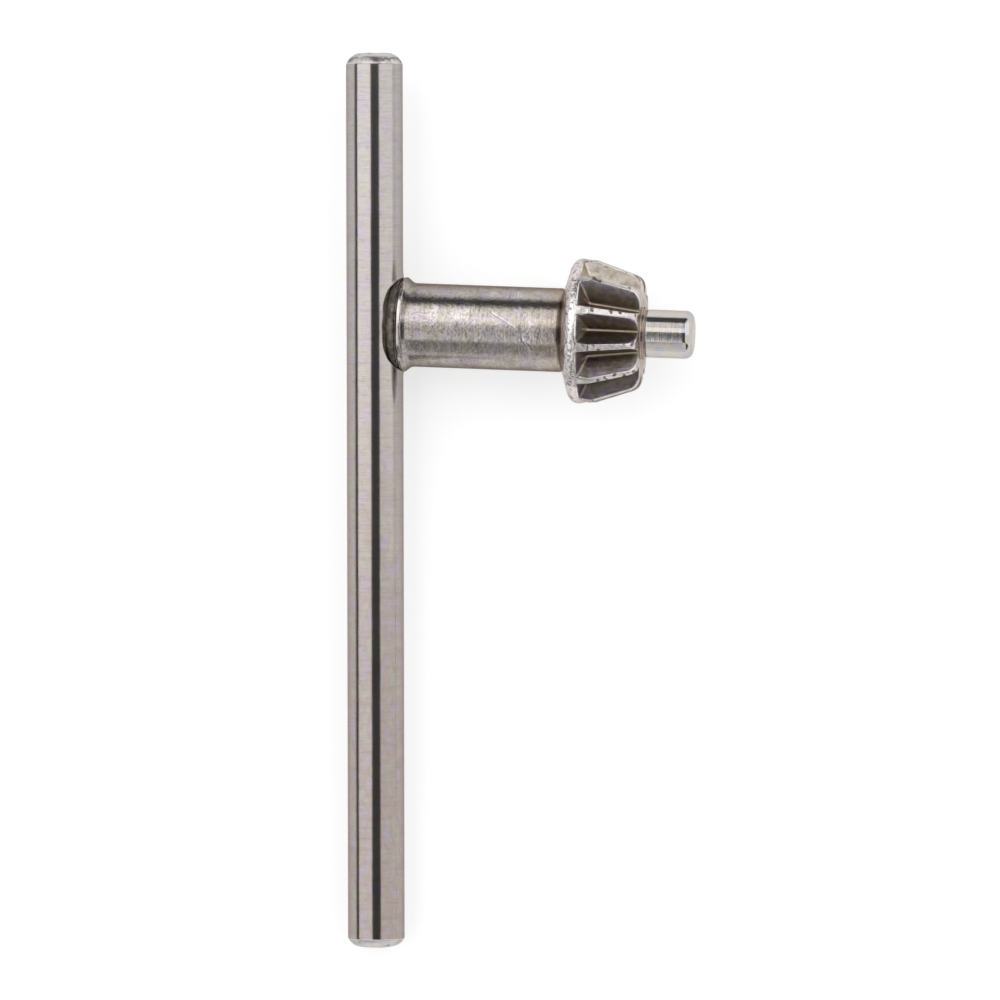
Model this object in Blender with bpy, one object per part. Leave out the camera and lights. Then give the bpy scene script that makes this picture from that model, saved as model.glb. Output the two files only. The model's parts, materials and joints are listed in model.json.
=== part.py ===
"""Drill chuck key: a round cross bar, and a turned body welded square onto it that carries
a straight-toothed bevel pinion and a pilot.

Metres, +Z up. The key lies as it comes to rest on a flat surface at z = 0, on the rim of its
weld flange, the back edge of its pinion and the end of its long arm. The origin is the middle
of its footprint, the bar runs along Y with its short arm at +Y, and the pilot is at +X.

Both pieces are modelled in the key's own frame: X is the body's axis, counted from the bar's
axis, Y points to the short arm, and Z to the side that faces up when the key lies down.
"""

from cmath import phase, rect
from math import asin, atan2, cos, hypot, pi, radians, sin, sqrt, tan

import bmesh
import bpy
from mathutils import Matrix, Vector

# Cross bar: ground round stock, crowned at both ends
BAR_DIAMETER = 0.0070
SHORT_ARM = 0.0332
LONG_ARM = 0.0768
BAR_END_FLAT_DIAMETER = 0.0040
SHORT_ARM_CROWN = 0.0014
LONG_ARM_CROWN = 0.0011
BAR_CROWN_TURN = radians(60)

# Weld: the body is sunk a little into the bar, and its end is upset into a lip and a flange
LEAN = radians(2.2)
SEAT_DEPTH = 0.0006
SEAT_DIAMETER = 0.0080
FIT_GAP = 0.0003
LIP_WRAP = radians(63)
LIP_DIAMETER = 0.0112
LIP_LENGTH = 0.0001
LIP_NOTCH_LENGTH = 0.00015
LIP_NOTCH_DEPTH = 0.0001
FLANGE_DIAMETER = 0.0116
FLANGE_START = 0.00045
FLANGE_WIDTH = 0.0004
FLARE_LENGTH = 0.00118

# Shank, counted from the seat to the pinion's back
SHANK_DIAMETER = 0.0103
SHANK_LENGTH = 0.02066

# Pinion: the back cone, a round land, and a toothed cone that points at the pitch apex
PINION_DIAMETER = 0.0178
PINION_LENGTH = 0.00966
BACK_CONE = radians(17.4)
BACK_ROUND = 0.0012
FACE_LENGTH = 0.00567
TIP_CONE = radians(18.7)
TIP_ROUND = 0.0011
TEETH = 12
TOOTH_PHASE = radians(17)
TIP_WIDTH = 0.00078
FLANK_ANGLE = radians(36)
ROOT_ROUND = 0.00022
GROOVE_SETBACK = 0.0015
ROOT_SETBACK = 0.00035

# Pilot and the small collar at its foot
COLLAR_DIAMETER = 0.0064
COLLAR_LENGTH = 0.0004
PILOT_DIAMETER = 0.0059
PILOT_LENGTH = 0.00628
PILOT_ROUND = 0.00068

# Facets
BAR_SIDES = 48
BODY_SIDES = 72
ARC_STEPS = 5
CUTTER_MARGIN = 0.00025
MERGE_DISTANCE = 1e-7

BAR_RADIUS = BAR_DIAMETER / 2
PINION_RADIUS = PINION_DIAMETER / 2

# Stations along the body's axis, from the bar's axis
SEAT = BAR_RADIUS - SEAT_DEPTH
FLANGE = SEAT + FLANGE_START
SHANK_START = FLANGE + FLANGE_WIDTH + FLARE_LENGTH
PINION_BACK = SEAT + SHANK_LENGTH
PINION_FRONT = PINION_BACK + PINION_LENGTH
CONE_START = PINION_FRONT - FACE_LENGTH
PILOT_END = PINION_FRONT + PILOT_LENGTH
APEX = CONE_START + PINION_RADIUS / tan(TIP_CONE)

# One tooth space at the large end, as half width plus i times height above the body's axis:
# the corner where its flank meets the tip, and the arc that touches both flanks at the root
TIP_CORNER = 1j * rect(PINION_RADIUS, TIP_WIDTH / PINION_DIAMETER - pi / TEETH)
ROOT_CENTRE = TIP_CORNER.imag - (TIP_CORNER.real * cos(FLANK_ANGLE) - ROOT_ROUND) / sin(FLANK_ANGLE)
ROOT_SLOPE = (ROOT_CENTRE - ROOT_ROUND) / (APEX - CONE_START)


def bulge(start, end, turn):
    """The points of an arc from start to end that turns clockwise by turn.

    Points are complex numbers, the station plus i times the radius. The arc's centre lies on
    the right of the chord, half the chord over tan(turn / 2) away from its middle."""
    centre = start + (end - start) * (0.5 - 0.5j / tan(turn / 2))
    return [centre + (start - centre) * rect(1, -turn * k / ARC_STEPS) for k in range(ARC_STEPS + 1)]


def fillet(before, corner, after, radius):
    """The arc of this radius that touches the lines into and out of corner.

    It starts radius * tan(turn / 2) before the corner, or at most half way along its lines."""
    way_in = (corner - before) / abs(corner - before)
    way_out = (after - corner) / abs(after - corner)
    turn = -phase(way_out / way_in)
    wall = 0.5 * min(abs(corner - before), abs(after - corner))
    reach = min(radius * tan(turn / 2), wall)
    return bulge(corner - reach * way_in, corner + reach * way_out, turn)


def bar_outline():
    """Half section of the cross bar, from the end of the long arm to the end of the short arm."""
    flat = 1j * BAR_END_FLAT_DIAMETER / 2
    long_crown = bulge(flat, LONG_ARM_CROWN + 1j * BAR_RADIUS, BAR_CROWN_TURN)
    short_crown = bulge(flat, SHORT_ARM_CROWN + 1j * BAR_RADIUS, BAR_CROWN_TURN)
    long_end = [point - LONG_ARM for point in long_crown]
    short_end = [SHORT_ARM - point.conjugate() for point in reversed(short_crown)]
    return [-LONG_ARM + 0j] + long_end + short_end + [SHORT_ARM + 0j]


def body_outline():
    """Half section of the body, from the crown of its weld lip to the end of its pilot."""
    lip_start = rect(BAR_RADIUS, LIP_WRAP)
    lip_end = SEAT + LIP_LENGTH + 0.5j * LIP_DIAMETER
    lip_rise = lip_end - lip_start
    notch = lip_end + LIP_NOTCH_LENGTH - 1j * LIP_NOTCH_DEPTH
    flange = FLANGE + 0.5j * FLANGE_DIAMETER
    shank = SHANK_START + 0.5j * SHANK_DIAMETER
    back = PINION_BACK + 0.5j * SHANK_DIAMETER
    back_rise = PINION_RADIUS - SHANK_DIAMETER / 2
    rim = PINION_BACK + back_rise * tan(BACK_CONE) + 1j * PINION_RADIUS
    cone = CONE_START + 1j * PINION_RADIUS
    tip = PINION_FRONT + 1j * (APEX - PINION_FRONT) * tan(TIP_CONE)
    collar = PINION_FRONT + 0.5j * COLLAR_DIAMETER
    pilot = PINION_FRONT + COLLAR_LENGTH + 0.5j * PILOT_DIAMETER
    end = PILOT_END + 0.5j * PILOT_DIAMETER
    return [
        complex(lip_start.real, 0),
        *bulge(lip_start, lip_end, 2 * atan2(lip_rise.real, lip_rise.imag)),
        notch,
        flange,
        flange + FLANGE_WIDTH,
        shank,
        back,
        *fillet(back, rim, cone, BACK_ROUND),
        cone,
        *fillet(cone, tip, collar, TIP_ROUND),
        collar,
        collar + COLLAR_LENGTH,
        pilot,
        *fillet(pilot, end, complex(PILOT_END, 0), PILOT_ROUND),
        complex(PILOT_END, 0),
    ]


def add_object(name, bm):
    """Link the bmesh as an object of this name, with its faces pointing out."""
    bmesh.ops.recalc_face_normals(bm, faces=bm.faces)
    mesh = bpy.data.meshes.new(name)
    bm.to_mesh(mesh)
    bm.free()
    piece = bpy.data.objects.new(name, mesh)
    bpy.context.scene.collection.objects.link(piece)
    return piece


def turned(name, outline, sides, first_side=0.0):
    """A solid of revolution about X: the outline, spun once round from the angle first_side."""
    bm = bmesh.new()
    start = Matrix.Rotation(first_side, 3, "X")
    verts = [bm.verts.new(start @ Vector((point.real, 0, point.imag))) for point in outline]
    edges = [bm.edges.new(pair) for pair in zip(verts, verts[1:])]
    bmesh.ops.spin(bm, geom=verts + edges, cent=(0, 0, 0), axis=(1, 0, 0), angle=2 * pi, steps=sides)
    bmesh.ops.remove_doubles(bm, verts=bm.verts, dist=MERGE_DISTANCE)
    return add_object(name, bm)


def rod(name, start, end, radius, sides):
    """A plain cylinder along X, as a tool to cut or to join with."""
    return turned(name, [start + 0j, start + 1j * radius, end + 1j * radius, end + 0j], sides)


def groove_section():
    """Half section of one tooth space at the large end of the cone, from its root to its mouth,
    which lies a margin outside the tips."""
    sweep = pi / 2 - FLANK_ANGLE
    steps = [sweep * k / ARC_STEPS for k in range(ARC_STEPS + 1)]
    arc = [1j * (ROOT_CENTRE - rect(ROOT_ROUND, angle)) for angle in steps]
    rise = PINION_RADIUS + CUTTER_MARGIN - TIP_CORNER.imag
    return arc + [TIP_CORNER + rise * (tan(FLANK_ANGLE) + 1j)]


def tooth_spaces():
    """All tooth spaces as one cutter: wedges whose every edge runs to the apex.

    At its large end each wedge stops on a plane that slopes from the rim down to the root,
    where the tool ran out. At its small end it runs out past the pinion's front face."""
    half = groove_section()
    section = [complex(-point.real, point.imag) for point in reversed(half[1:])] + half
    cone_length = APEX - CONE_START
    rim_station = CONE_START - GROOVE_SETBACK
    root_station = CONE_START - ROOT_SETBACK
    root_radius = (APEX - root_station) * ROOT_SLOPE
    wall_slope = (rim_station - root_station) / (PINION_RADIUS - root_radius)
    wall_foot = rim_station - wall_slope * PINION_RADIUS
    bm = bmesh.new()
    for tooth in range(TEETH):
        angle = TOOTH_PHASE + (tooth + 0.5) * 2 * pi / TEETH
        turn = Matrix.Rotation(-angle, 3, "X")
        rear = []
        front = []
        for point in section:
            spread = point / cone_length
            to_wall = (APEX - wall_foot) / (1 + wall_slope * spread.imag)
            to_front = APEX - PINION_FRONT - CUTTER_MARGIN
            for loop, distance in ((rear, to_wall), (front, to_front)):
                place = Vector((APEX - distance, spread.real * distance, spread.imag * distance))
                loop.append(bm.verts.new(turn @ place))
        bm.faces.new(rear)
        bm.faces.new(front)
        for k in range(len(section)):
            bm.faces.new((rear[k - 1], rear[k], front[k], front[k - 1]))
    return add_object("tooth_spaces", bm)


def as_tool(tool, parent, turn=0.0):
    """Keep a cutter or an addition out of sight, in the key's frame, turned about Z."""
    tool.parent = parent
    tool.rotation_euler = (0, 0, turn)
    tool.hide_render = True
    tool.display_type = "WIRE"
    return tool


def combine(piece, tool, operation):
    """Cut the tool from the piece, or join it on."""
    step = piece.modifiers.new(tool.name, "BOOLEAN")
    step.operation = operation
    step.solver = "EXACT"
    step.object = tool


def finish(piece, colour, roughness):
    """Shade the round faces smooth, and give the piece its own steel."""
    piece.data.shade_smooth()
    piece.data.set_sharp_from_angle(angle=radians(30))
    steel = bpy.data.materials.new(piece.name + "_steel")
    steel.use_nodes = True
    shader = steel.node_tree.nodes["Principled BSDF"]
    shader.inputs["Base Color"].default_value = (*colour, 1)
    shader.inputs["Metallic"].default_value = 1.0
    shader.inputs["Roughness"].default_value = roughness
    piece.data.materials.append(steel)


def resting_matrix(body, bar, bar_axis):
    """Key frame to world: where the key comes to rest.

    It rolls onto the chord from its weld flange to its pinion, the lowest line that has the
    whole outline on one side, and then tips about that line until the long arm touches."""
    middle = (SHANK_START + PINION_BACK) / 2
    weld_end = [point for point in body if 0 < point.imag and point.real < middle]
    far_end = [point for point in body if point.real > middle]
    tilt = min(max(phase(far - near) for far in far_end) for near in weld_end)
    height = max(point.imag * cos(tilt) - point.real * sin(tilt) for point in weld_end)
    arm = LONG_ARM - LONG_ARM_CROWN
    droop = asin(height / hypot(arm, BAR_RADIUS)) - atan2(BAR_RADIUS, arm)

    # The world's up direction, whose parts along the body and along the bar are now known
    up_along = sin(tilt)
    up_across = (sin(droop) - bar_axis.x * up_along) / bar_axis.y
    up = Vector((up_along, up_across, sqrt(1 - up_along**2 - up_across**2)))
    ahead = (bar_axis - bar_axis.dot(up) * up).normalized()
    aside = ahead.cross(up)

    # Each outline point turns in a circle, which reaches this far in a direction
    body_axis = Vector((1, 0, 0))
    circles = [(point.real, point.imag, body_axis) for point in body]
    circles += [(point.real, point.imag, bar_axis) for point in bar]

    def reach(way):
        return max(
            station * axis.dot(way) + radius * sqrt(max(0, 1 - axis.dot(way) ** 2))
            for station, radius, axis in circles
        )

    shift = [(reach(-way) - reach(way)) / 2 for way in (aside, ahead)] + [height]
    return Matrix.Translation(shift) @ Matrix((aside, ahead, up)).to_4x4()


def main():
    for old in list(bpy.data.objects):
        bpy.data.objects.remove(old)

    body = body_outline()
    bar = bar_outline()
    bar_axis = Vector((-sin(LEAN), cos(LEAN), 0))
    bar_turn = pi / 2 + LEAN

    key = bpy.data.objects.new("key_at_rest", None)
    bpy.context.scene.collection.objects.link(key)
    key.matrix_world = resting_matrix(body, bar, bar_axis)

    # The bar, with the round flat-bottomed seat that the body is sunk into
    handle_bar = turned("handle_bar", bar, BAR_SIDES)
    handle_bar.parent = key
    handle_bar.rotation_euler = (0, 0, bar_turn)
    seat = rod("seat", SEAT, 2 * BAR_RADIUS, SEAT_DIAMETER / 2 + FIT_GAP, BAR_SIDES)
    combine(handle_bar, as_tool(seat, key), "DIFFERENCE")
    finish(handle_bar, (0.60, 0.58, 0.55), 0.25)

    # The body: its tooth spaces, the room for the bar under its lip, and its foot in the seat
    pinion_shank = turned("pinion_shank", body, BODY_SIDES, first_side=-TOOTH_PHASE)
    pinion_shank.parent = key
    combine(pinion_shank, as_tool(tooth_spaces(), key), "DIFFERENCE")
    half_room = SHANK_DIAMETER
    bar_room = rod("bar_room", -half_room, half_room, BAR_RADIUS + FIT_GAP, BAR_SIDES)
    combine(pinion_shank, as_tool(bar_room, key, bar_turn), "DIFFERENCE")
    foot = rod("seat_foot", SEAT, SHANK_START, SEAT_DIAMETER / 2, BAR_SIDES)
    combine(pinion_shank, as_tool(foot, key), "UNION")
    finish(pinion_shank, (0.42, 0.39, 0.35), 0.34)


main()
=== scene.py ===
"""Looks of a drill chuck key: a ground cross bar, and a turned body with a bevel pinion and a
pilot that is welded onto it.

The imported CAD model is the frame, and its pieces are remade here as finer surfaces in their
place. Metres, +Z up. Shapes are worked out in the key's own frame: X runs along the body from
the middle of the bar to the pilot, Y points to the bar's short arm, and Z to the side that
faces up.
"""

import json
from math import atan2, cos, pi, radians, sin, tan

import bpy
import numpy as np
from mathutils import Matrix, Vector
from mathutils.geometry import intersect_line_line


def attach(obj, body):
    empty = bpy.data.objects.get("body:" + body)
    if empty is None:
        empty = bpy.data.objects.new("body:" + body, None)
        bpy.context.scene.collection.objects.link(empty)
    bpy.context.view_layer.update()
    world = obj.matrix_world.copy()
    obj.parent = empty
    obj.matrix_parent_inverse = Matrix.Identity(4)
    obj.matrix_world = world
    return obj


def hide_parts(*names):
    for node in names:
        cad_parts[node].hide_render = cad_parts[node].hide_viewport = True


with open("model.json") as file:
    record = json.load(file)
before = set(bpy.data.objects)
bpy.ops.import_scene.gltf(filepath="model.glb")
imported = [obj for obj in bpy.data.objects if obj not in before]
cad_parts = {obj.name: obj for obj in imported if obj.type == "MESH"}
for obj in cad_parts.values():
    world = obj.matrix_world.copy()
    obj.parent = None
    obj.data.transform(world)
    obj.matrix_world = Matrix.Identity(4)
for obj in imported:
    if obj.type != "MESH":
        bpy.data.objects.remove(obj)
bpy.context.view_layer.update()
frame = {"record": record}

# The key at rest
# The mounts are the flat ends of both pieces, so they give both axes. The bar's and the body's
# axis cross in the middle of the weld, and there the key's own frame has its origin.
mounts = {mount["name"]: mount for mount in frame["record"]["mounts"]}
short_end = Vector(mounts["short_arm_end"]["pos_m"])
long_end = Vector(mounts["long_arm_end"]["pos_m"])
pilot_end = Vector(mounts["pilot_end"]["pos_m"])
along_body = Vector(mounts["pilot_end"]["axis"]).normalized()
along_bar = (short_end - long_end).normalized()
side_up = along_body.cross(along_bar).normalized()
crossing = intersect_line_line(long_end, short_end, pilot_end, pilot_end + along_body)[0]


def axes(x, y, z):
    """The frame at the crossing whose axes are these three directions."""
    turn = Matrix((x, y, z)).transposed()
    return Matrix.Translation(crossing) @ turn.to_4x4()


body_frame = axes(along_body, side_up.cross(along_body), side_up)
bar_frame = axes(-along_bar, side_up.cross(-along_bar), side_up)

# Camera
# It looks straight down from the height at which the far end of the bar and the near rim of
# the pinion have the photograph's sizes.
CAMERA_HEIGHT = 0.85
CAMERA_OVER = Vector((-0.0026, 0.00002, 0))
CAMERA_LENS = 247
CAMERA_TURN = radians(-0.11)

camera = bpy.data.objects.new("camera", bpy.data.cameras.new("camera"))
camera.data.lens = CAMERA_LENS
camera.data.clip_start = 0.01
camera.data.clip_end = 20
camera.location = CAMERA_OVER + Vector((0, 0, CAMERA_HEIGHT))
camera.rotation_euler = (0, 0, CAMERA_TURN)
bpy.context.scene.collection.objects.link(camera)
bpy.context.scene.camera = camera
bpy.context.scene.view_settings.view_transform = "Standard"


# Floor and soft lamps
# A matt white floor that turns up at its far rim, so that a low view still has a pale
# background. Soft boxes stand on all four sides. The dark gap that they leave overhead is the
# black line along the middle of the bar.
FLOOR_RADIUS = 4.0
FLOOR_LEVEL_SHARE = 0.9
FLOOR_RIM = 0.38
FLOOR_RINGS = 40
FLOOR_SIDES = 96
FLOOR_PAINT = (0.50, 0.50, 0.50, 1)
FLOOR_GLOW = 0.62
ROOM = (0.085, 0.085, 0.086, 1)
LAMP_DISTANCE = 1.2


class Shade:
    """One output of a material's nodes. Arithmetic on it adds Math nodes."""

    def __init__(self, tree, socket=None):
        self.tree = tree
        self.socket = socket

    def node(self, kind, settings=None, inputs=None, output=0):
        """Add a node: its settings first, then a value or a link for each of its sockets."""
        made = self.tree.nodes.new("ShaderNode" + kind)
        for name, value in (settings or {}).items():
            if name == "stops":
                while len(made.color_ramp.elements) < len(value):
                    made.color_ramp.elements.new(1)
                for element, (position, colour) in zip(made.color_ramp.elements, value):
                    element.position = position
                    element.color = colour
            else:
                setattr(made, name, value)
        for key, value in (inputs or {}).items():
            if isinstance(value, Shade):
                self.tree.links.new(value.socket, made.inputs[key])
            else:
                made.inputs[key].default_value = value
        return Shade(self.tree, made.outputs[output])

    def math(self, operation, *values):
        """Add a Math node that works on these values."""
        return self.node("Math", {"operation": operation}, dict(enumerate(values)))

    def __add__(self, other):
        return self.math("ADD", self, other)

    def __sub__(self, other):
        return self.math("SUBTRACT", self, other)

    def __rsub__(self, other):
        return self.math("SUBTRACT", other, self)

    def __mul__(self, other):
        return self.math("MULTIPLY", self, other)

    def __truediv__(self, other):
        return self.math("DIVIDE", self, other)

    __radd__ = __add__


def new_material(name):
    """A material with its Principled shader, and the Shade that adds nodes to it."""
    made = bpy.data.materials.new(name)
    made.use_nodes = True
    return made, made.node_tree.nodes["Principled BSDF"], Shade(made.node_tree)


def lattice(name, grid, material, closed_end=True):
    """A surface through a grid of points, rows by columns by three.

    The columns close round into a ring. The first row is drawn together into one point, and so
    is the last where closed_end is true. Faces are quads, and triangles round a point."""
    rows, columns = grid.shape[:2]
    ring = np.arange(columns)
    after = np.roll(ring, -1)
    inner = 1 + ring + columns * np.arange(rows - (3 if closed_end else 2))[:, None]
    quads = np.stack([inner, inner + columns, inner + columns + after - ring, inner + after - ring], -1)
    fans = [np.stack([0 * ring, 1 + ring, 1 + after], -1)]
    points = [grid[0, :1], grid[1:-1].reshape(-1, 3)]
    if closed_end:
        last = 1 + columns * (rows - 2)
        fans.append(np.stack([last + 0 * ring, last - columns + after, last - columns + ring], -1))
        points.append(grid[-1, :1])
    else:
        points.append(grid[-1])
    points = np.concatenate(points)
    fans = np.concatenate(fans)
    corners = np.concatenate([fans.ravel(), quads.ravel()])
    starts = np.concatenate([3 * np.arange(len(fans)), fans.size + 4 * np.arange(quads.size // 4)])
    mesh = bpy.data.meshes.new(name)
    mesh.vertices.add(len(points))
    mesh.vertices.foreach_set("co", points.ravel())
    mesh.loops.add(len(corners))
    mesh.loops.foreach_set("vertex_index", corners)
    mesh.polygons.add(len(starts))
    mesh.polygons.foreach_set("loop_start", starts)
    mesh.update(calc_edges=True)
    mesh.shade_smooth()
    mesh.materials.append(material)
    made = bpy.data.objects.new(name, mesh)
    bpy.context.scene.collection.objects.link(made)
    return made


floor_white, floor_shader, shade = new_material("floor_white")
seen = [shade.node("LightPath", output=f"Is {ray} Ray") for ray in ("Camera", "Glossy", "Transmission")]
glow = (seen[0] + seen[1] + seen[2]) * FLOOR_GLOW
floor_shader.inputs["Base Color"].default_value = FLOOR_PAINT
floor_shader.inputs["Roughness"].default_value = 1
floor_shader.inputs["Specular IOR Level"].default_value = 0
floor_shader.inputs["Emission Color"].default_value = (1, 1, 1, 1)
floor_white.node_tree.links.new(glow.socket, floor_shader.inputs["Emission Strength"])

reach = np.linspace(0, 1, FLOOR_RINGS)[:, None]
around = np.linspace(0, 2 * pi, FLOOR_SIDES, endpoint=False)
rise = np.clip((reach - FLOOR_LEVEL_SHARE) / (1 - FLOOR_LEVEL_SHARE), 0, 1)
floor_grid = np.stack(
    np.broadcast_arrays(
        FLOOR_RADIUS * reach * np.cos(around),
        FLOOR_RADIUS * reach * np.sin(around),
        FLOOR_RIM * rise**2,
    ),
    -1,
)
floor = lattice("floor", floor_grid, floor_white, closed_end=False)


def soft_box(name, toward, zenith, sides, radiance):
    """A rectangular lamp that looks at the key.

    toward is the level direction that it stands in, along X or Y. zenith gives the angles from
    straight up, in degrees, at which it begins and ends, and sides where it begins and ends
    along the other level axis. A surface that mirrors it shows its own colour times radiance."""
    toward = Vector(toward)
    middle = radians(sum(zenith) / 2)
    out = toward * sin(middle) + Vector((0, 0, cos(middle)))
    across = Vector((abs(toward.y), abs(toward.x), 0))
    lamp = bpy.data.lights.new(name, "AREA")
    lamp.shape = "RECTANGLE"
    lamp.size = sides[1] - sides[0]
    lamp.size_y = 2 * LAMP_DISTANCE * tan(radians(zenith[1] - zenith[0]) / 2)
    lamp.energy = radiance * pi * lamp.size * lamp.size_y
    made = bpy.data.objects.new(name, lamp)
    turn = Matrix((across, out.cross(across), out)).transposed()
    centre = out * LAMP_DISTANCE + across * sum(sides) / 2
    made.matrix_world = Matrix.Translation(centre) @ turn.to_4x4()
    made.visible_camera = False
    bpy.context.scene.collection.objects.link(made)


# The light of both sides is stronger over the far half of the key, and the far light is
# strongest where it stands closest to overhead
soft_box("left_box", (-1, 0, 0), (16, 73), (-1.1, 2.05), 1.20)
soft_box("left_far_box", (-1, 0, 0), (15, 73), (-0.05, 1.3), 0.42)
soft_box("right_box", (1, 0, 0), (19, 86), (-0.9, 2.05), 0.96)
soft_box("right_far_box", (1, 0, 0), (18, 78), (-0.05, 1.3), 0.40)
soft_box("far_box", (0, 1, 0), (28, 55), (-0.42, 0.42), 0.64)
soft_box("far_strip", (0, 1, 0), (9, 29), (-0.42, 0.42), 1.15)
soft_box("near_box", (0, -1, 0), (40, 86), (-0.31, 0.60), 0.76)

world = bpy.data.worlds.new("room")
world.use_nodes = True
world.node_tree.nodes["Background"].inputs["Color"].default_value = ROOM
bpy.context.scene.world = world


# Cross bar
# Ground round steel stock, crowned at both ends, with fine grinding lines round it, and warmer
# and darker towards the end of its long arm. The foot of the body is welded into a round
# flat-bottomed seat, and the weld has raised the bar a little round its lip.
BAR_RADIUS = 0.0035
BAR_END_FLAT_RADIUS = 0.0020
SHORT_END_CROWN = 0.00140
LONG_END_CROWN = 0.00110
BAR_CROWN_BULGE = radians(60)
BAR_EDGE_ROUND = 0.0002
SEAT_DEPTH = 0.0006
SEAT_RADIUS = 0.0043
BEAD_START = 0.00128
BEAD_WIDTH = 0.00070
BEAD_RISE = 205
BEAD_CURVE = 48
BEAD_REACH = 0.0075
BEAD_STAIN = (0.0012, 0.00185)
DENT_DEPTH = 0.00002
DENT_REACH = 1.2
BROAD_DENT = 0.0022
FINE_DENT = 0.0009
BAR_COLUMNS = 240
BAR_FACE_ROWS = 8
BAR_CROWN_ROWS = 16
ROUND_STEP = 0.0002
RIPPLE_WAVES = 24
RIPPLE_PEAK = 7

LONG_ARM_SPAN = (-0.04, 0.06)
LONG_ARM_BLUR = 0.03
BAR_BUMP = 0.0000045
BAR_COLOUR = (0.412, 0.388, 0.378, 1)
BAR_LILAC = (0.400, 0.358, 0.395, 1)
BAR_OLIVE = (0.400, 0.388, 0.345, 1)
BAR_LONG_ARM_TONE = (0.395, 0.325, 0.298, 1)
BAR_CROWN = (0.66, 0.64, 0.63, 1)
BAR_LINE = (0.22, 0.195, 0.180, 1)
BAR_GRIME = (0.10, 0.08, 0.07, 1)
BAR_EDGE_TINT = (0.62, 0.59, 0.57, 1)


def arc(start, end, turn, steps):
    """The points of an arc from start to end that turns clockwise by turn.

    Points are complex, station + i * radius. The centre lies half the chord over tan(turn / 2)
    to the right of the chord's middle."""
    centre = start + (end - start) * (0.5 - 0.5j / tan(turn / 2))
    return centre + (start - centre) * np.exp(-1j * turn * np.linspace(0, 1, steps + 1))


def rounded(*corners):
    """A profile with rounded corners, as complex points, station + i * radius.

    Each corner is its point, the radius of its round, and the number of rows on the line that
    follows. The rows on a line stand closer at its ends, by a cosine. A round has three rows,
    and one more for each ROUND_STEP of its length."""
    points = np.array([corner[0] for corner in corners])
    way = np.diff(points) / abs(np.diff(points))
    pieces = []
    line_start = points[0]
    for k in range(1, len(points)):
        line_end = points[k]
        bend = None
        if k < len(points) - 1 and corners[k][1] > 0:
            turn = -np.angle(way[k] / way[k - 1])
            cut = corners[k][1] * tan(abs(turn) / 2)
            line_end = points[k] - cut * way[k - 1]
            rows = 3 + int(corners[k][1] * abs(turn) / ROUND_STEP)
            bend = arc(line_end, points[k] + cut * way[k], turn, rows)
        share = 0.5 - 0.5 * np.cos(pi * np.linspace(0, 1, corners[k - 1][2] + 1))
        pieces.append((line_start + (line_end - line_start) * share)[:-1])
        line_start = line_end
        if bend is not None:
            pieces.append(bend[:-1])
            line_start = bend[-1]
    return np.concatenate([*pieces, [line_start]])


def ripples(points, wavelength, seed):
    """A smooth random height of about -1 to 1 at each point.

    It is the sum of RIPPLE_WAVES sine waves of this wavelength that run in seeded directions,
    divided by RIPPLE_PEAK, which such a sum seldom passes."""
    random = np.random.default_rng(seed)
    ways = random.normal(size=(3, RIPPLE_WAVES))
    ways *= 2 * pi / (wavelength * np.linalg.norm(ways, axis=0))
    starts = random.uniform(0, 2 * pi, RIPPLE_WAVES)
    return np.sin(points @ ways + starts).sum(-1) / RIPPLE_PEAK


def turned(station, radius, angle):
    """Points round the X axis, the angle counted from Y towards Z."""
    return np.stack(np.broadcast_arrays(station, radius * np.cos(angle), radius * np.sin(angle)), -1)


def placed(points, own_frame):
    """The points, moved from a piece's own frame into the world."""
    matrix = np.array(own_frame)
    return points @ matrix[:3, :3].T + matrix[:3, 3]


def store(piece, name, grid):
    """Keep a value for each point of the lattice, for the material."""
    values = np.concatenate([grid[0, :1], grid[1:-1].ravel(), grid[-1, :1]])
    piece.data.attributes.new(name, "FLOAT", "POINT").data.foreach_set("value", values)


short_arm = (short_end - crossing).length
long_arm = (long_end - crossing).length
face = np.linspace(0, BAR_END_FLAT_RADIUS, BAR_FACE_ROWS)[:-1] * 1j
ends = []
for crown_length in (SHORT_END_CROWN, LONG_END_CROWN):
    crown_edge = crown_length + 1j * BAR_RADIUS
    crown = arc(1j * BAR_END_FLAT_RADIUS, crown_edge, BAR_CROWN_BULGE, BAR_CROWN_ROWS)
    ends.append(np.concatenate([face, crown]))
top = ends[0] - short_arm
bottom = long_arm - ends[1].conjugate()
cylinder = rounded(
    (top[-2], 0, 2),
    (top[-1], BAR_EDGE_ROUND, 40),
    (-BEAD_REACH + 1j * BAR_RADIUS, 0, 70),
    (BEAD_REACH + 1j * BAR_RADIUS, 0, 50),
    (bottom[-1], BAR_EDGE_ROUND, 2),
    (bottom[-2], 0, 1),
)
bar_profile = np.concatenate([top[:-2], cylinder, bottom[-3::-1]])
angle = np.linspace(0, 2 * pi, BAR_COLUMNS, endpoint=False)
station = bar_profile.real[:, None]
radius = bar_profile.imag[:, None] * np.ones_like(angle)

# The bead rises with the square of the distance past its start, and the start bends away
# along both arms. The seat is flat inside its circle
to_weld = radius * np.cos(angle) - BEAD_CURVE * station**2 - BEAD_START
radius = radius + BEAD_RISE * np.clip(to_weld, 0, BEAD_WIDTH) ** 2
seat_flat = (BAR_RADIUS - SEAT_DEPTH) / np.maximum(np.cos(angle), 0.1)
in_seat = np.hypot(station, radius * np.sin(angle)) < SEAT_RADIUS
radius = np.where(in_seat & (np.cos(angle) > 0), np.minimum(radius, seat_flat), radius)
bar_points = turned(station, radius, angle)
from_short_end = (short_arm + station) / SHORT_END_CROWN
from_end = np.minimum(from_short_end, (long_arm - station) / LONG_END_CROWN)
dents = ripples(bar_points, BROAD_DENT, 3) + 0.5 * ripples(bar_points, FINE_DENT, 4)
dents = DENT_DEPTH * np.clip(DENT_REACH - from_end, 0, 1) * dents
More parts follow.
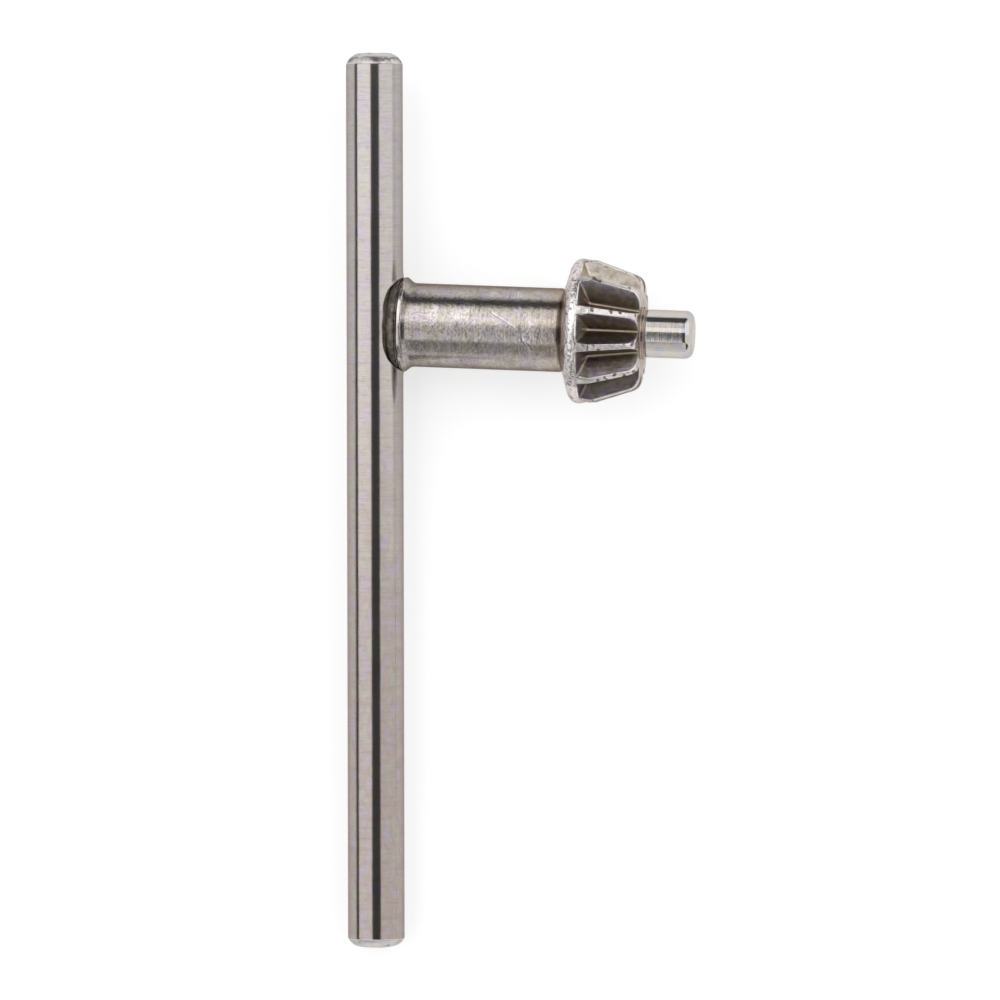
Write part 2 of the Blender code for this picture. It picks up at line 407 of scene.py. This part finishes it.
bar_points += dents[..., None] * [1, 0, 0]


def own_place(shade, own_frame):
    """The point's place in a piece's own frame, from its object coordinates."""
    to_piece = own_frame.inverted()
    spot = shade.node("TexCoord", output="Object")
    turn = {"Rotation": to_piece.to_euler(), "Location": to_piece.translation}
    return shade.node("Mapping", inputs={"Vector": spot, **turn})


def noise(vector, scale, stretch=(1, 1, 1), detail=2.0, roughness=0.5):
    """Noise from 0 to 1, with scale spots to the metre, drawn out along an axis by a small stretch."""
    drawn = vector.node("Mapping", inputs={"Vector": vector, "Scale": stretch})
    sockets = {"Vector": drawn, "Scale": scale, "Detail": detail, "Roughness": roughness}
    return vector.node("TexNoise", inputs=sockets)


def step(value, start, end):
    """0 below start and 1 above end, smooth between them."""
    limits = {"Value": value, "From Min": start, "From Max": end}
    return value.node("MapRange", {"interpolation_type": "SMOOTHSTEP"}, limits)


def band(value, start, full, fade, end):
    """1 from full to fade, and 0 before start and after end."""
    return step(value, start, full) * (1 - step(value, fade, end))


def coated(base, *coats):
    """The base colour with coats over it in turn, each a mask from 0 to 1 and its colour."""
    for mask, colour in coats:
        base = mask.node("Mix", {"data_type": "RGBA"}, {0: mask, 6: base, 7: colour}, output=2)
    return base


def dress_steel(material, shader, base, rough, height, bump, edge_tint):
    """Give a bare metal its colour, its roughness and a bump of this depth from the height."""
    inputs = {"Height": height, "Distance": bump, "Strength": 1.0}
    sockets = {"Base Color": base, "Roughness": rough, "Normal": height.node("Bump", inputs=inputs)}
    for name, value in sockets.items():
        material.node_tree.links.new(value.socket, shader.inputs[name])
    shader.inputs["Metallic"].default_value = 1
    shader.inputs["Specular Tint"].default_value = edge_tint


bar_steel, bar_shader, shade = new_material("bar_steel")
in_bar = own_place(shade, bar_frame)
station = shade.node("SeparateXYZ", inputs={"Vector": in_bar}, output="X")
lines = noise(in_bar, 6000, (1, 0.09, 0.09), detail=3, roughness=0.65)
streaks = noise(in_bar, 1700, (1, 0.12, 0.12), detail=3, roughness=0.6)
clouds = noise(in_bar, 300, (0.6, 1, 1))
hue = noise(in_bar, 650, (0.6, 1, 1), detail=1)
spots = noise(in_bar, 1500, (0.8, 1, 1), detail=4, roughness=0.7)
from_end = (station + short_arm) / SHORT_END_CROWN
from_end = from_end.math("MINIMUM", from_end, (long_arm - station) / LONG_END_CROWN)
crown = 1 - step(from_end, 0.93, 1.0)
# Warmer and darker towards the end of the long arm.
long_arm_tone = step(station + (clouds - 0.5) * LONG_ARM_BLUR, *LONG_ARM_SPAN)
toward_body = shade.node("SeparateXYZ", inputs={"Vector": in_bar}, output="Y")
beside_weld = step(toward_body - station * station * BEAD_CURVE, *BEAD_STAIN)
smears = noise(in_bar, 900, (1, 0.5, 0.5), detail=4, roughness=0.7)
smudge = band(from_end, 0.25, 0.45, 0.75, 0.92) * (1 - long_arm_tone * 0.7) * step(smears, 0.44, 0.58)

bar_base = coated(
    BAR_COLOUR,
    (long_arm_tone * 0.9, BAR_LONG_ARM_TONE),
    (step(hue, 0.50, 0.64) * 0.8, BAR_LILAC),
    (step(1 - hue, 0.50, 0.64) * 0.7, BAR_OLIVE),
    (step(lines, 0.42, 0.78) * 0.26, BAR_LINE),
    (step(streaks, 0.45, 0.75) * 0.18, BAR_LINE),
    (crown * 0.9, BAR_CROWN),
    (step(spots, 0.50, 0.70) * (0.12 + crown * 0.35), BAR_GRIME),
    (smudge * 0.75, BAR_GRIME),
)
bar_rough = 0.075 + clouds * 0.05 + lines * 0.08 + crown * 0.20 + beside_weld * 0.08
height = lines * 0.5 + streaks + clouds * 5 + crown * spots * 26
dress_steel(bar_steel, bar_shader, bar_base, bar_rough, height, BAR_BUMP, BAR_EDGE_TINT)

ground_bar = lattice("ground_bar", placed(bar_points, bar_frame), bar_steel)
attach(ground_bar, "root")
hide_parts("handle_bar")


# Shank and its weld
# The rear half of the turned body. Its end was upset over the bar by the weld, into a scorched
# lip that wraps the bar and a thin bright flange with a short flare behind it.
FIT_GAP = 0.0002
SEAT = BAR_RADIUS - SEAT_DEPTH
FOOT_CORE = 0.0023
FOOT_RADIUS = 0.0040
LIP_CREST = 0.00195
LIP_CREST_RADIUS = 0.0034
LIP_END = 0.0029
LIP_RADIUS = 0.00565
LIP_CURVE = 0.985
LIP_RIPPLE = 0.00006
LIP_WAVE = 0.0022
LIP_FINE_RIPPLE = 0.00002
LIP_FINE_WAVE = 0.0007
LIP_SOFTNESS = 0.000015
NOTCH = 0.00312
NOTCH_RADIUS = 0.00538
FLANGE = 0.00338
FLANGE_END = 0.00370
FLANGE_RADIUS = 0.0058
FLANGE_SADDLE = 0.00022
FLANGE_DRAW = 0.00080
FLANGE_LEAN = 0.00005
FLANGE_LEAN_WAVE = 0.004
FLANGE_WOBBLE = 0.00004
FLANGE_WOBBLE_WAVE = 0.003
FLANGE_SOFTNESS = 0.00003
FLANGE_WEAR = 0.00020
FLARE_DRAW = 0.0008
FLARE_END = 0.0075
SHANK = 0.00480
SHANK_RADIUS = 0.00515
NECK = 0.02351
NECK_RADIUS = 0.00503
NECK_OVERLAP = 0.0001
SHANK_COLUMNS = 288

SCORCH_END = (0.00305, 0.00322)
RIM_SHADE = (0.0037, 0.0039, 0.0040, 0.0042)
DRAWN_END = (0.0065, 0.0095)
HEAT_AND_SHADE_START = (0.0195, 0.0240)
HEAT_AND_SHADE_BLUR = 0.004
LONG_SCRATCH = ((0.0149, 0.0020), (0.0182, 0.0002), 0.00016)
SHORT_SCRATCH = ((0.0188, -0.0010), (0.0202, -0.0026), 0.00022)
BODY_BUMP = 0.000008
SHANK_COLOUR = (0.448, 0.412, 0.394, 1)
SHANK_LILAC = (0.415, 0.374, 0.400, 1)
SHANK_OLIVE = (0.405, 0.382, 0.330, 1)
SHANK_SMEAR = (0.60, 0.56, 0.55, 1)
SHANK_SPECK_AND_SHADE = (0.22, 0.185, 0.16, 1)
SHANK_HEAT_AND_SHADE = (0.40, 0.32, 0.26, 1)
LIP_OLIVE = (0.20, 0.178, 0.148, 1)
LIP_SOOT = (0.06, 0.05, 0.045, 1)
WORN_STEEL = (0.78, 0.74, 0.73, 1)
BODY_EDGE_TINT = (0.35, 0.31, 0.28, 1)

to_body = body_frame.inverted()
lean = atan2(-(to_body.to_3x3() @ along_bar).x, (to_body.to_3x3() @ along_bar).y)


def soft_min(a, b, width):
    """The smaller of two values, rounded over where they differ by less than a few widths."""
    return -width * np.logaddexp(-a / width, -b / width)


def soft_max(a, b, width):
    """The larger of two values, filled in where they differ by less than a few widths."""
    return width * np.logaddexp(a / width, b / width)


def ramp(value, start, end):
    """0 at start and 1 at end, by the cubic that is level at both, and level beyond them."""
    share = np.clip((value - start) / (end - start), 0, 1)
    return share**2 * (3 - 2 * share)


def bar_side(points):
    """The station at which the bar's side, with its clearance, lies beside each point."""
    room = BAR_RADIUS + FIT_GAP
    half_chord = np.sqrt(np.maximum(room**2 - points[..., 2] ** 2, 0))
    return (half_chord - points[..., 1] * sin(lean)) / cos(lean)


# The weld end as stations over radii: the foot, the bar's side, and the crown of the lip, which
# is a quarter of an ellipse. Lip and flange reach out most along the bar, and are drawn in on
# the side that faces up
angle = np.linspace(0, 2 * pi, SHANK_COLUMNS, endpoint=False)
upper = np.maximum(np.sin(angle), 0) ** 2
core_rows = np.linspace(0, FOOT_CORE, 5)
lip_rows = np.linspace(FOOT_CORE + 0.0001, LIP_RADIUS, 46)
lip_rows = np.concatenate([core_rows, lip_rows])[:, None]
lip_radius = lip_rows - FLANGE_DRAW * upper * (lip_rows / LIP_RADIUS) ** 4
lip_points = turned(0 * lip_radius, lip_radius, angle)
saddle = bar_side(lip_points)
under = np.where(lip_rows < FOOT_RADIUS, np.minimum(saddle, SEAT), saddle)
swell = np.clip((lip_rows - LIP_CREST_RADIUS) / (LIP_RADIUS - LIP_CREST_RADIUS), 0, 1)
lip_top = LIP_END - (LIP_END - LIP_CREST) * np.sqrt(1 - LIP_CURVE * swell**2)
lip_top = lip_top + LIP_RIPPLE * ripples(lip_points, LIP_WAVE, 11)
lip_top = lip_top + LIP_FINE_RIPPLE * ripples(lip_points, LIP_FINE_WAVE, 12)
lip_station = soft_max(lip_top, under, LIP_SOFTNESS)

shank_profile = rounded(
    (LIP_END + 0.00005 + 1j * LIP_RADIUS, 0, 4),
    (NOTCH + 1j * NOTCH_RADIUS, 0.00005, 3),
    (FLANGE + 1j * FLANGE_RADIUS, 0.00005, 3),
    (FLANGE_END + 1j * FLANGE_RADIUS, 0.00007, 8),
    (SHANK + 1j * SHANK_RADIUS, 0.0016, 60),
    (NECK - 0.00035 + 1j * SHANK_RADIUS, 0.0002, 4),
    (NECK + 1j * NECK_RADIUS, 0, 1),
    (NECK + NECK_OVERLAP + 1j * (NECK_RADIUS - NECK_OVERLAP), 0, 1),
    (NECK + NECK_OVERLAP + 0j, 0, 1),
)
row = shank_profile.real[:, None]
station = row * np.ones_like(angle)
radius = shank_profile.imag[:, None] * np.ones_like(angle)
points = turned(station, radius, angle)
weld_end = ramp(row, SHANK, FLANGE_END)
radius = radius - FLANGE_DRAW * upper * weld_end
station = station - FLARE_DRAW * upper * (1 - weld_end) * (1 - ramp(row, SHANK, FLARE_END))
saddled = FLANGE_SADDLE * np.cos(angle) ** 2
saddled = saddled + FLANGE_LEAN * ripples(points, FLANGE_LEAN_WAVE, 5)
station = station + weld_end * saddled
radius = radius + weld_end * FLANGE_WOBBLE * ripples(points, FLANGE_WOBBLE_WAVE, 6)
clear = soft_max(station, bar_side(turned(station, radius, angle)), FLANGE_SOFTNESS)
station = np.where(weld_end > 0, clear, station)
shank_station = np.concatenate([lip_station, station])
shank_radius = np.concatenate([lip_radius, radius])
shank_points = turned(shank_station, shank_radius, angle)

shank_steel, shank_shader, shade = new_material("shank_steel")
in_body = own_place(shade, body_frame)
place = shade.node("SeparateXYZ", inputs={"Vector": in_body}, output="X")
rim = shade.node("Attribute", {"attribute_name": "rim"}, output="Fac")


def scratch(vector, start, end, width):
    """1 along a straight scratch on the upper side, and 0 a width away from it.

    start and end are stations along the body with their distances from its axis along Y."""
    length = (Vector(end) - Vector(start)).length
    way = (Vector(end) - Vector(start)).normalized()
    dot = {"operation": "DOT_PRODUCT"}
    offset = vector.node("VectorMath", {"operation": "SUBTRACT"}, {0: vector, 1: (*start, 0)})
    along = offset.node("VectorMath", dot, {0: offset, 1: (*way, 0)}, output="Value")
    aside = offset.node("VectorMath", dot, {0: offset, 1: (-way.y, way.x, 0)}, output="Value")
    height = offset.node("SeparateXYZ", inputs={"Vector": offset}, output="Z")
    near = 1 - step(aside.math("ABSOLUTE", aside), width * 0.4, width)
    within = band(along, 0, 2 * width, length - 2 * width, length)
    return near * within * step(height, 0, width)


mottle = noise(in_body, 800, detail=6, roughness=0.7)
speckle = noise(in_body, 2600, detail=4, roughness=0.6)
hue = noise(in_body, 600, detail=1)
smears = noise(in_body, 420, (1, 0.7, 0.7), detail=5, roughness=0.65)
turning = noise(in_body, 3800, (1, 0.06, 0.06), detail=3, roughness=0.6)
drawn_lines = noise(in_body, 5200, (0.08, 1, 1), detail=2)
scorch = 1 - step(place, *SCORCH_END)
# Painted shade, mottled, in the flare just behind the flange's rim.
shade_behind_rim = band(place, *RIM_SHADE)
# Browner and darker towards the pinion: partly heat tint, partly painted shade from the pinion's back.
heat_and_shade = step(place + (mottle - 0.5) * HEAT_AND_SHADE_BLUR, *HEAT_AND_SHADE_START)
scratches = scratch(in_body, *LONG_SCRATCH) + scratch(in_body, *SHORT_SCRATCH)
fine = step(drawn_lines, 0.50, 0.70) * (1 - step(place, *DRAWN_END))

shank_base = coated(
    SHANK_COLOUR,
    (step(hue, 0.50, 0.64), SHANK_LILAC),
    (step(1 - hue, 0.50, 0.64), SHANK_OLIVE),
    (step(smears, 0.52, 0.66) * 0.7, SHANK_SMEAR),
    (heat_and_shade * 0.75, SHANK_HEAT_AND_SHADE),
    (step(mottle, 0.50, 0.70) * 0.45, SHANK_SPECK_AND_SHADE),
    (step(speckle, 0.50, 0.68) * 0.45, SHANK_SPECK_AND_SHADE),
    (step(turning, 0.50, 0.72) * 0.35, SHANK_SPECK_AND_SHADE),
    (fine * 0.45, SHANK_SPECK_AND_SHADE),
    (scratches * 0.3, WORN_STEEL),
    (shade_behind_rim * step(mottle, 0.45, 0.6) * 0.7, SHANK_SPECK_AND_SHADE),
    (scorch, LIP_OLIVE),
    (scorch * step(mottle, 0.46, 0.62) * 0.8, LIP_SOOT),
    (scorch * step(speckle, 0.46, 0.62) * 0.6, LIP_SOOT),
    (rim * step(mottle, 0.72, 0.55) * 0.3, WORN_STEEL),
)
shank_rough = 0.10 + mottle * 0.09 + speckle * 0.05 + scorch * 0.34 - rim * 0.02
height = turning * 0.7 + mottle * 3.7 + speckle * 1.4 + smears * 4
height = height + scorch * mottle * 8 - scratches * 2
dress_steel(shank_steel, shank_shader, shank_base, shank_rough, height, BODY_BUMP, BODY_EDGE_TINT)

from_rim = (row - (FLANGE + FLANGE_END) / 2) / FLANGE_WEAR
worn_rim = np.exp(-(from_rim**4)) * np.ones_like(angle)
shank = lattice("shank_and_weld", placed(shank_points, body_frame), shank_steel)
store(shank, "rim", np.concatenate([0 * lip_station, worn_rim]))
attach(shank, "root")
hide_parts("pinion_shank")


# Pinion and pilot
# The front half of the same hardened body. The twelve teeth are cut towards one apex, and each
# tooth space ends at the back in a sloping wall, where the cutter ran out. The tips are worn
# bright, oil has browned in the spaces, and the pilot is polished by its hole.
PINION_RADIUS = 0.0089
BACK_STEP = 0.00005
BACK_CONE = radians(17.4)
BACK_ROUND = 0.0012
FACE_LENGTH = 0.00567
TIP_CONE = radians(18.7)
TIP_ROUND = 0.0017
TEETH = 12
TOOTH_PHASE = radians(17)
TIP_WIDTH = 0.00078
FLANK_ANGLE = radians(36)
ROOT_ROUND = 0.00030
GROOVE_SETBACK = 0.0016
ROOT_SETBACK = 0.00035
CUT_LEAD = 0.0005
SPACE_DEPTH = 0.0026
SPACE_SOFTNESS = 0.00003
COLLAR_RADIUS = 0.0032
COLLAR_LENGTH = 0.0004
FACE_MARGIN = 0.0006
PILOT_RADIUS = 0.00295
PILOT_ROUND = 0.0010
COLUMNS_TO_A_TOOTH = 40
CREST_CROWD = 5
CREST_SPREAD = radians(0.7)
ROOT_CROWD = 2
ROOT_SPREAD = radians(1.4)
FACE_ROWS = 9
EDGE_WEAR = 0.000030
FRONT_WEAR = 0.00013
LAND_START = 0.00005
NICK_DEPTH = 0.00009
NICK_WAVE = 0.0010
NICK_LEVEL = 1.1
RIM_DENT_DEPTH = 0.00006
RIM_DENT_WAVE = 0.0009
RIM_DENT_REACH = 0.0009
CLEANEST_SPACE = radians(28)
CLEAN_SPREAD = radians(15)
STAIN_START = 0.00025
ROOT_HIGHLIGHT_WIDTH = 0.00014

CORNER_SHADE_END = (0.0002, 0.0006)
BACK_BAND = (0.0240, 0.0243, 0.0256, 0.0259)
LAND_REFLECTION_START = (0.0257, 0.0260)
LAND_REFLECTION_FADE = 0.0008
FACE_START = (-0.0001, -0.00002)
BROWN_FACE = (0.0036, 0.0050)
PILOT_START = (0.00042, 0.00048)
LAND_STEEL = (0.64, 0.595, 0.59, 1)
LAND_DARK_REFLECTION = (0.30, 0.30, 0.26, 1)
PILOT_STEEL = (0.50, 0.490, 0.515, 1)
PILOT_CREAM = (0.55, 0.515, 0.455, 1)
SPACE_CLEAN = (0.66, 0.60, 0.52, 1)
SPACE_ROOT_HIGHLIGHT = (0.60, 0.51, 0.39, 1)
SPACE_GREEN = (0.15, 0.155, 0.095, 1)
SPACE_PURPLE = (0.19, 0.135, 0.175, 1)
SPACE_TINTS = [
    (0.05, (0.34, 0.30, 0.32, 1)),
    (0.25, (0.23, 0.19, 0.225, 1)),
    (0.48, (0.31, 0.26, 0.205, 1)),
    (0.72, (0.20, 0.17, 0.12, 1)),
    (0.95, (0.11, 0.08, 0.06, 1)),
]
PIT_AND_SHADE_BROWN = (0.10, 0.08, 0.07, 1)
PINION_EDGE_TINT = (0.76, 0.70, 0.66, 1)

front = (to_body @ Vector(mounts["pinion_front"]["pos_m"])).x
end = (to_body @ pilot_end).x
cone_start = front - FACE_LENGTH
apex = cone_start + PINION_RADIUS / tan(TIP_CONE)

# Columns: one pitch of angles from crest to crest, closer together at the crest's edges and
# at the root, repeated for each tooth
pitch = 2 * pi / TEETH
crest_half = TIP_WIDTH / (2 * PINION_RADIUS)
sample = np.linspace(0, 1, 2000)
from_crest = pitch * (0.5 - abs(0.5 - sample))
density = 1 + CREST_CROWD * np.exp(-(((from_crest - crest_half) / CREST_SPREAD) ** 2))
density += ROOT_CROWD * np.exp(-(((from_crest - pitch / 2) / ROOT_SPREAD) ** 2))
crowd = np.cumsum(density)
crowd = (crowd - crowd[0]) / (crowd[-1] - crowd[0])
one_pitch = np.interp(np.arange(COLUMNS_TO_A_TOOTH) / COLUMNS_TO_A_TOOTH, crowd, sample) * pitch
first_crest = pi / 2 - TOOTH_PHASE
angle = (first_crest + pitch * np.arange(TEETH)[:, None] + one_pitch).ravel()
from_root = (np.tile(one_pitch, TEETH) - pitch / 2)[None, :]
whole = np.ones_like(angle)

rim_at = NECK + (PINION_RADIUS - SHANK_RADIUS) * tan(BACK_CONE) + BACK_STEP
tip = (apex - front) * tan(TIP_CONE)
before_front = rounded(
    (NECK - NECK_OVERLAP + 0j, 0, 1),
    (NECK - NECK_OVERLAP + 1j * (NECK_RADIUS - NECK_OVERLAP), 0, 1),
    (NECK + 1j * NECK_RADIUS, 0, 1),
    (NECK + BACK_STEP + 1j * SHANK_RADIUS, 0.00003, 14),
    (rim_at + 1j * PINION_RADIUS, BACK_ROUND, 14),
    (cone_start + 1j * PINION_RADIUS, 0.0006, 56),
    (front + 1j * tip, TIP_ROUND, 1),
    (front + 0.5j * tip, 0, 1),
)[:-1]
after_front = rounded(
    (front + 1j * (COLLAR_RADIUS + FACE_MARGIN), 0, 3),
    (front + 1j * COLLAR_RADIUS, 0.00008, 3),
    (front + COLLAR_LENGTH + 1j * COLLAR_RADIUS, 0.00005, 2),
    (front + COLLAR_LENGTH + 0.00002 + 1j * (PILOT_RADIUS - 0.0001), 0.00005, 2),
    (front + COLLAR_LENGTH + 0.0003 + 1j * PILOT_RADIUS, 0.0001, 14),
    (end + 1j * PILOT_RADIUS, PILOT_ROUND, 6),
    (end + 0j, 0, 1),
)

# Tooth spaces: straight flanks and a round root that run to the apex, and the run-out wall
corner = 1j * PINION_RADIUS * np.exp(1j * (crest_half - pitch / 2))
root_centre = corner.imag - (corner.real * cos(FLANK_ANGLE) - ROOT_ROUND) / sin(FLANK_ANGLE)
flank_foot = root_centre - ROOT_ROUND / sin(FLANK_ANGLE)
station = before_front.real[:, None]
profile = before_front.imag[:, None] * whole
scale = (apex - station) / (apex - cone_start)
flank = np.cos(from_root) - np.sin(abs(from_root)) / tan(FLANK_ANGLE)
flank = flank_foot / np.maximum(flank, 0.05)
inside = np.maximum(ROOT_ROUND**2 - (root_centre * np.sin(from_root)) ** 2, 0)
root_arc = root_centre * np.cos(from_root) - np.sqrt(inside)
at_root = flank * np.sin(abs(from_root)) < ROOT_ROUND * cos(FLANK_ANGLE)
groove = scale * np.where(at_root, root_arc, flank)
rim_station = cone_start - GROOVE_SETBACK
root_station = cone_start - ROOT_SETBACK
root_radius = (root_centre - ROOT_ROUND) * (apex - root_station) / (apex - cone_start)
wall_slope = (PINION_RADIUS - root_radius) / (root_station - rim_station)
wall = (PINION_RADIUS - wall_slope * (station - rim_station)) / np.cos(from_root)
in_pinion = station > rim_station - CUT_LEAD
space = np.where(in_pinion, soft_max(groove, wall, SPACE_SOFTNESS), 1)
to_front = np.clip((station - cone_start) / FACE_LENGTH, 0, 1)
worn = EDGE_WEAR + (FRONT_WEAR - EDGE_WEAR) * to_front**1.5
depth = np.clip((profile - space) / SPACE_DEPTH, 0, 1)
edge = np.exp(-np.abs(profile - space) / (2 * worn)) * in_pinion

# Nicks in the worn crests, and dents of the rough rear rim
points = turned(station, profile, angle)
land = np.clip((space - profile) / LAND_START, 0, 1) * (station > cone_start - CUT_LEAD)
nicks = np.clip(2 * ripples(points, NICK_WAVE, 21) - NICK_LEVEL, 0, 1) * (station > cone_start)
nicks = nicks * np.clip(land + 0.4 * edge, 0, 1)
rear_rim = np.exp(-(((station - rim_at) / RIM_DENT_REACH) ** 4))
dents = np.clip(ripples(points, RIM_DENT_WAVE, 22), 0, 1) * rear_rim
radius = soft_min(profile, space, worn) - NICK_DEPTH * nicks - RIM_DENT_DEPTH * dents

# Front face: from the toothed outline in to the collar
share = np.linspace(0, 1, FACE_ROWS)[1:-1, None]
face_radius = radius[-1] * (1 - share) + (COLLAR_RADIUS + FACE_MARGIN) * share
nose = after_front[:, None] * whole
pinion_station = np.concatenate([station * whole, front + 0 * face_radius, nose.real])
pinion_radius = np.concatenate([radius, face_radius, nose.imag])

# What the material needs to know at each point of the toothed part
plain = np.zeros((len(pinion_radius) - len(radius), len(angle)))
from_clean = (angle - CLEANEST_SPACE - 2 * pi) / CLEAN_SPREAD
soil = (1 - 0.95 * np.exp(-(from_clean**4))) * np.ones_like(depth)
in_space = np.clip((profile - radius) / STAIN_START, 0, 1) * in_pinion
# A painted highlight along the root of each deep tooth space.
root = np.exp(-((from_root * radius / ROOT_HIGHLIGHT_WIDTH) ** 2)) * (depth > 0.5)

pinion_steel, pinion_shader, shade = new_material("pinion_steel")
in_body = own_place(shade, body_frame)
place = shade.node("SeparateXYZ", inputs={"Vector": in_body}, output="X")
deep, spaced, soiled, edged, root_highlight, nicked = [
    shade.node("Attribute", {"attribute_name": name}, output="Fac")
    for name in ("depth", "space", "soil", "edge", "root", "nick")
]
mottle = noise(in_body, 1100, detail=6, roughness=0.7)
speckle = noise(in_body, 3000, detail=3, roughness=0.6)
hue = noise(in_body, 700, detail=1)
turning = noise(in_body, 4200, (1, 0.06, 0.06), detail=3, roughness=0.6)
cutting = noise(in_body, 2600, (0.10, 1, 1), detail=3, roughness=0.65)
pits = step(noise(in_body, 1700, detail=2), 0.53, 0.64)
flat = shade.node("VectorMath", {"operation": "MULTIPLY"}, {0: in_body, 1: (0, 1, 1)})
from_axis = shade.node("VectorMath", {"operation": "LENGTH"}, {0: flat}, output="Value")
back_band = band(place, *BACK_BAND)
# A painted dark reflection, mottled, over the rear of the lands.
land_reflection = band(place, *LAND_REFLECTION_START, cone_start, cone_start + LAND_REFLECTION_FADE)
pilot = step(place - front, *PILOT_START)
front_face = step(place - front, *FACE_START) * (1 - pilot)
# Painted shade in the corner where the pinion's back meets the shank.
corner_shade = 1 - step(place - NECK, *CORNER_SHADE_END)

stained = deep + (cutting - 0.5) * 0.55 + (mottle - 0.5) * 0.3
space_base = coated(
    shade.node("ValToRGB", {"stops": SPACE_TINTS}, {"Fac": stained}),
    (step(hue, 0.52, 0.62) * 0.6, SPACE_PURPLE),
    (step(1 - hue, 0.52, 0.62) * 0.6, SPACE_GREEN),
    (1 - soiled, SPACE_CLEAN),
    (step(cutting, 0.44, 0.66) * (1 - soiled) * 0.6, SHANK_HEAT_AND_SHADE),
    (step(mottle, 0.50, 0.64) * 0.42, PIT_AND_SHADE_BROWN),
    (root_highlight * 0.78, SPACE_ROOT_HIGHLIGHT),
)
pilot_base = coated(PILOT_CREAM, (step(hue, 0.42, 0.58), PILOT_STEEL))
pinion_base = coated(
    LAND_STEEL,
    (step(hue, 0.52, 0.66) * 0.6, SHANK_LILAC),
    (land_reflection * step(mottle, 0.40, 0.58) * 0.8, LAND_DARK_REFLECTION),
    (step(mottle, 0.52, 0.72) * 0.28, SHANK_SPECK_AND_SHADE),
    (step(speckle, 0.54, 0.72) * 0.12, SHANK_SPECK_AND_SHADE),
    (front_face * (1 - step(from_axis, *BROWN_FACE)) * 0.8, SHANK_HEAT_AND_SHADE),
    (pilot * 0.9, pilot_base),
    (back_band * 0.4, WORN_STEEL),
    (step(edged, 0.30, 0.75) * (1 - pilot), WORN_STEEL),
    (step(spaced, 0.25, 0.75), space_base),
    (step(nicked, 0.05, 0.35) * 0.8, PIT_AND_SHADE_BROWN),
    (pits * (0.08 + back_band * 0.5) * (1 - pilot), PIT_AND_SHADE_BROWN),
    (corner_shade * 0.8, PIT_AND_SHADE_BROWN),
)
pinion_rough = 0.18 + mottle * 0.10 + spaced * 0.12 + root_highlight * 0.15 - pilot * 0.12
height = mottle * 5 + speckle * 1.2 + cutting * spaced * 4 - pits * back_band * 6
height = turning * 0.6 + height * (1 - pilot * 0.85)
dress_steel(
    pinion_steel, pinion_shader, pinion_base, pinion_rough, height, BODY_BUMP, PINION_EDGE_TINT
)

pinion_points = turned(pinion_station, pinion_radius, angle)
pinion = lattice("pinion_and_pilot", placed(pinion_points, body_frame), pinion_steel)
for name, grid in (
    ("depth", depth * in_pinion),
    ("space", in_space),
    ("soil", soil),
    ("edge", edge),
    ("root", root),
    ("nick", nicks),
):
    store(pinion, name, np.concatenate([grid, plain]))
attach(pinion, "root")
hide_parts("pinion_shank")
